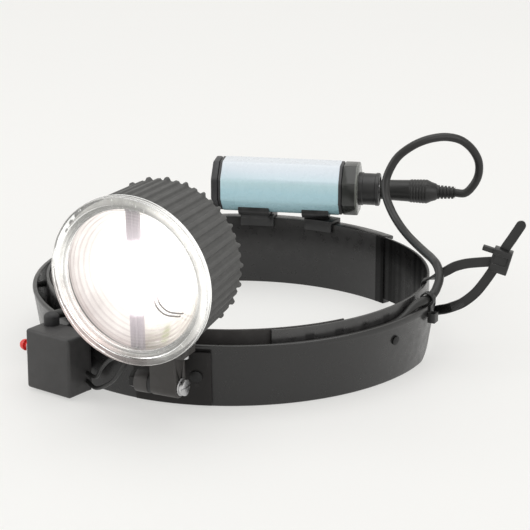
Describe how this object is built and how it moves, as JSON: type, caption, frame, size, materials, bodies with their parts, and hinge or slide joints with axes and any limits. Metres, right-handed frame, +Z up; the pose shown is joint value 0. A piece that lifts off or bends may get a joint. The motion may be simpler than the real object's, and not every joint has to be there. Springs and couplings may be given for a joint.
{
  "type": "miner's cap lamp",
  "caption": "Cap lamp: round ribbed lamp head tilting on a slotted headband, push-button switch box, clipped battery pack and looped cable.",
  "frame": {"origin": "centre of the headband's round half, on the plane that the band's lower edge rests on", "axes": "+Z up, the lamp looks along -Y, the wearer's left side is +X"},
  "size_m": [0.2333, 0.2551, 0.1086],
  "materials": {
    "band_plastic": "semi-gloss black polypropylene",
    "liner_foam": "matt black soft liner",
    "housing_plastic": "matt black ABS",
    "box_plastic": "satin black ABS",
    "clear_plastic": "clear polycarbonate",
    "mirror": "vacuum-coated mirror",
    "seal_rubber": "pale soft seal",
    "dark_rubber": "black rubber",
    "steel": "zinc-plated steel",
    "dark_metal": "blackened rivets",
    "bridge_alloy": "grey anodised",
    "circuit_board": "solder mask",
    "chip_plastic": "moulded chips",
    "led_white": "phosphor",
    "red_plastic": "glossy red",
    "pack_plastic": "smoky dark plastic",
    "label_film": "printed shrink film",
    "cell_film": "shrink film",
    "brass": "plated",
    "cable_rubber": "satin black cable sheath",
    "wire_red": "wire insulation",
    "nylon": "black nylon"
  },
  "bodies": {
    "band": {"rear_band": "band_plastic", "front_band": "band_plastic", "brow_liner": "liner_foam", "size_studs": "dark_metal", "lamp_bracket": "box_plastic", "bracket_rivets": "dark_metal", "hinge_screw": "steel", "hinge_nut": "steel", "hinge_washer": "steel", "friction_washer": "dark_rubber", "lamp_leads": "cable_rubber", "switch_box": "box_plastic", "switch_box_cover": "box_plastic", "cover_screws": "steel", "switch_body": "chip_plastic", "switch_nut": "steel", "box_gland": "dark_rubber", "held_cable": "cable_rubber", "battery_case": "pack_plastic", "battery_label": "label_film", "left_end_cap": "pack_plastic", "socket_end_cap": "pack_plastic", "cell": "cell_film", "contact_spring": "steel", "positive_contact": "brass", "dc_socket": "pack_plastic", "jack_insert": "chip_plastic", "jack_pin": "steel", "clip_left": "pack_plastic", "clip_right": "pack_plastic", "plug_barrel": "steel", "plug_body": "cable_rubber", "plug_strain_relief": "cable_rubber", "power_cord": "cable_rubber", "small_tie": "nylon", "big_tie": "nylon"},
    "lamp_head": {"tilt_foot": "housing_plastic", "foot_screws": "steel", "lamp_housing": "housing_plastic", "rear_cover": "housing_plastic", "rear_cover_screws": "steel", "lens_ring": "clear_plastic", "lens": "clear_plastic", "lens_seal": "seal_rubber", "reflector": "mirror", "led_bridge": "bridge_alloy", "bridge_screws": "steel", "led_board": "circuit_board", "led_emitter": "led_white", "led_wires": "wire_red", "driver_board": "circuit_board", "driver_parts": "chip_plastic", "board_screws": "steel", "lamp_gland": "dark_rubber"},
    "button": {"button_cap": "red_plastic"}
  },
  "joints": [
    {"name": "lamp_tilt", "type": "hinge", "parent": "band", "child": "lamp_head", "pos_m": [0.021, -0.10526, 0.0154], "axis": [1, 0, 0], "range_deg": [-5, 50], "deforming": ["lamp_leads"]},
    {"name": "button_press", "type": "slide", "parent": "band", "child": "button", "axis": [0.9799, -0.1994, 0], "range_m": [0, 0.0022], "stiffness_N_per_m": 600}
  ]
}
